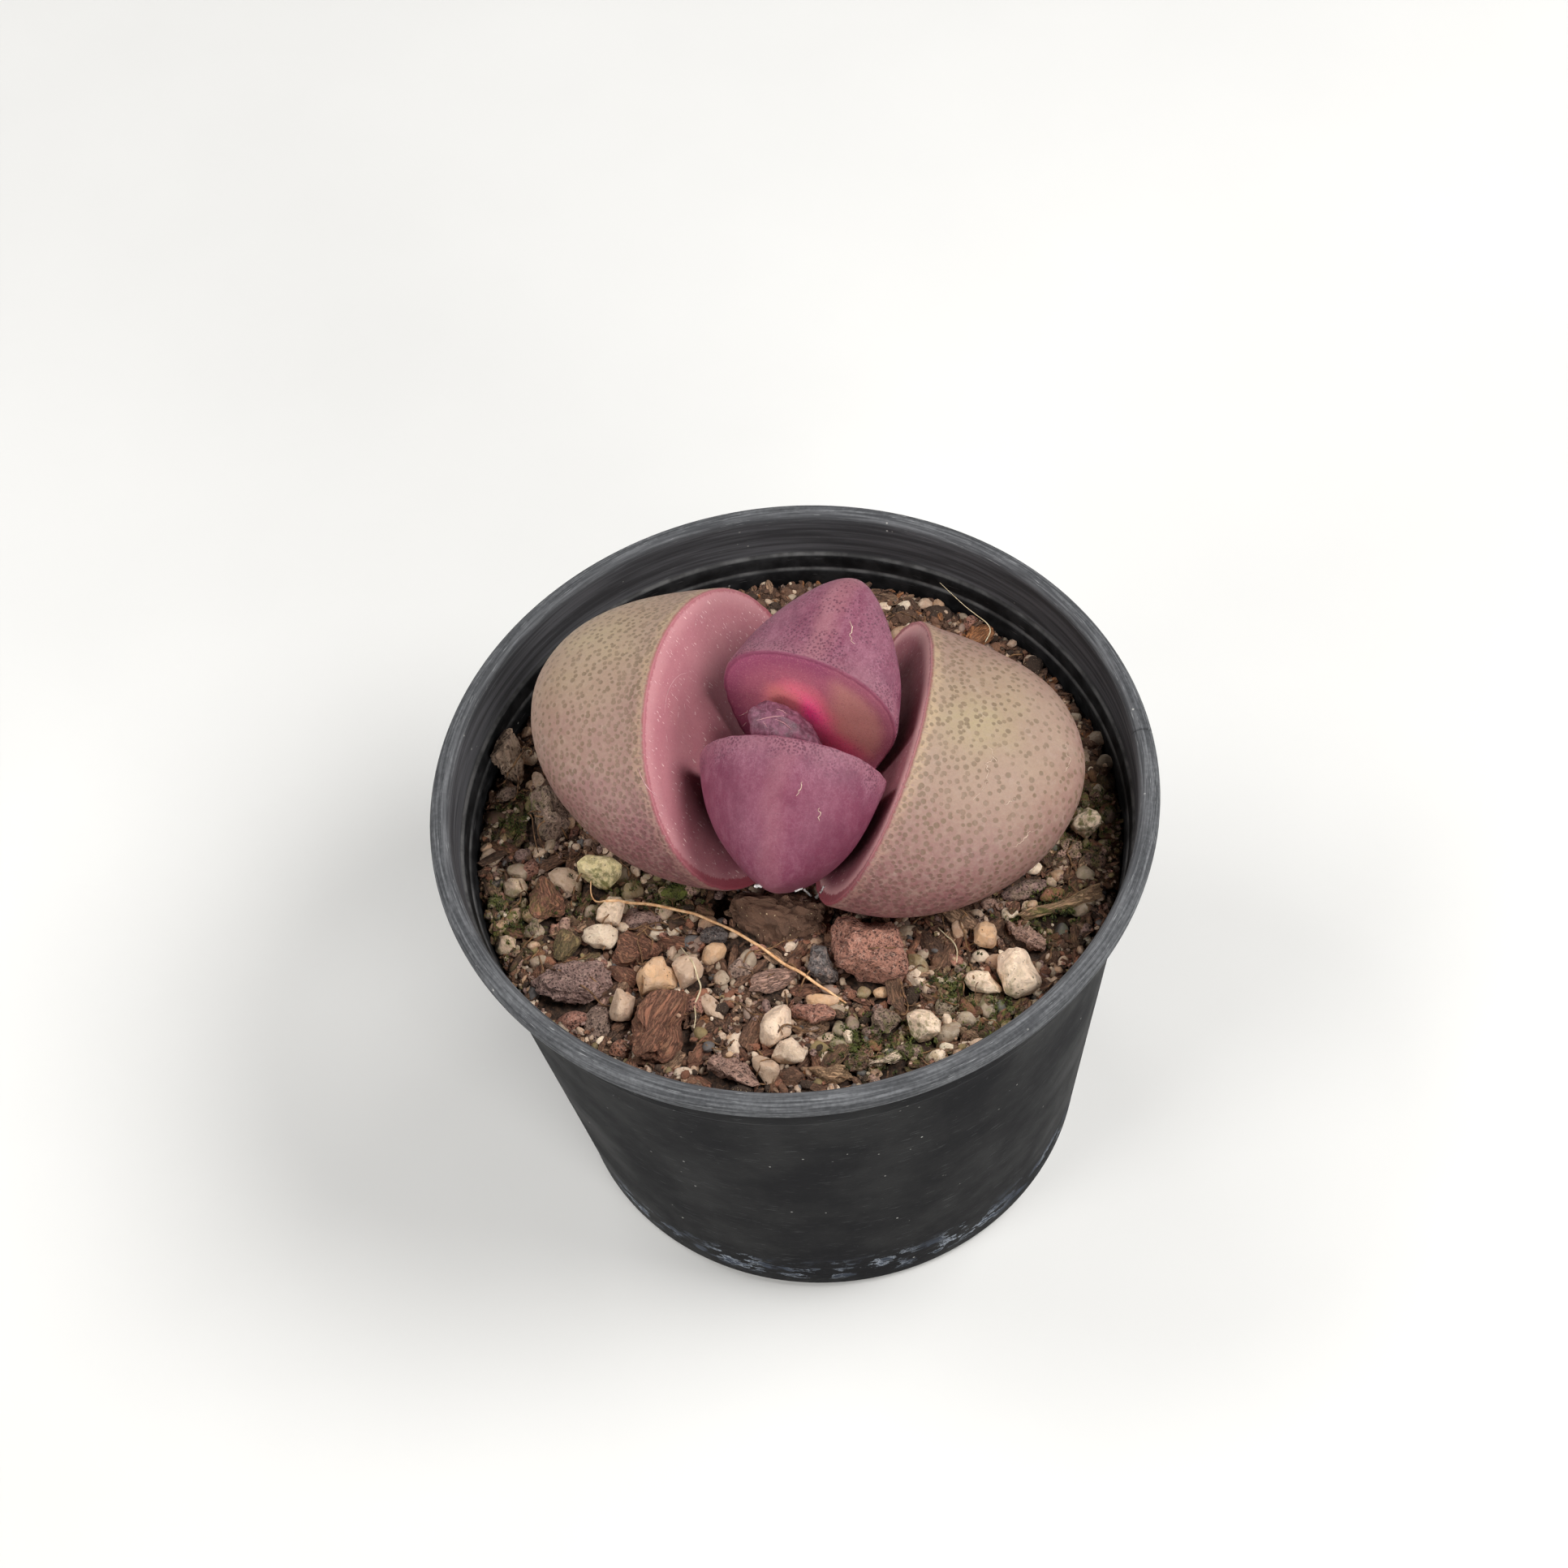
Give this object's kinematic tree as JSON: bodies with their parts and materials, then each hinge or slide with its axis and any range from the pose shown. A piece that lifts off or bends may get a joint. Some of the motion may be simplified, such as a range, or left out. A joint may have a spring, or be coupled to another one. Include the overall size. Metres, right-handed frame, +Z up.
{
  "type": "potted split rock succulent",
  "caption": "Potted split rock: a stone-like succulent with an old and a new pair of thick half-egg leaves, in a round black nursery pot of gritty mix.",
  "frame": {"origin": "on the pot's axis, at the plane that it stands on", "axes": "+Z up, -Y to the front; the old leaves' faces look along X and the new leaves' faces along Y"},
  "size_m": [0.1, 0.1, 0.0979],
  "materials": {
    "pot_plastic": "satin",
    "potting_mix": "matte",
    "old_leaf_skin": "matte",
    "new_leaf_skin": "matte",
    "bud_skin": "matte",
    "crown_bark": "matte",
    "lava": "matte",
    "pebble": "matte",
    "pumice": "matte",
    "bark": "matte"
  },
  "bodies": {
    "root": {"pot": "pot_plastic", "soil": "potting_mix", "old_leaf_left": "old_leaf_skin", "old_leaf_right": "old_leaf_skin", "new_leaf_back": "new_leaf_skin", "new_leaf_front": "new_leaf_skin", "bud": "bud_skin", "root_crown": "crown_bark", "lava_red": "lava", "lava_purple": "lava", "lava_grey_left": "lava", "lava_rough_left": "lava", "lava_right": "lava", "lava_front": "lava", "lava_rim_right": "lava", "lava_rim_front": "lava", "stone_red": "lava", "stone_blue": "pebble", "stone_grey": "pebble", "pumice_large": "pumice", "pumice_left_1": "pumice", "pumice_left_2": "pumice", "pumice_left_3": "pumice", "pumice_left_4": "pumice", "pumice_left_5": "pumice", "pumice_middle": "pumice", "pumice_front_1": "pumice", "pumice_front_2": "pumice", "pumice_front_3": "pumice", "pumice_right_1": "pumice", "pumice_right_2": "pumice", "pumice_right_3": "pumice", "pumice_right_4": "pumice", "pumice_orange_1": "pumice", "pumice_orange_2": "pumice", "bark_large": "bark", "bark_left_1": "bark", "bark_left_2": "bark", "bark_left_3": "bark", "bark_front": "bark", "bark_clump": "bark", "bark_back": "bark", "bark_stick": "bark"}
  },
  "joints": []
}
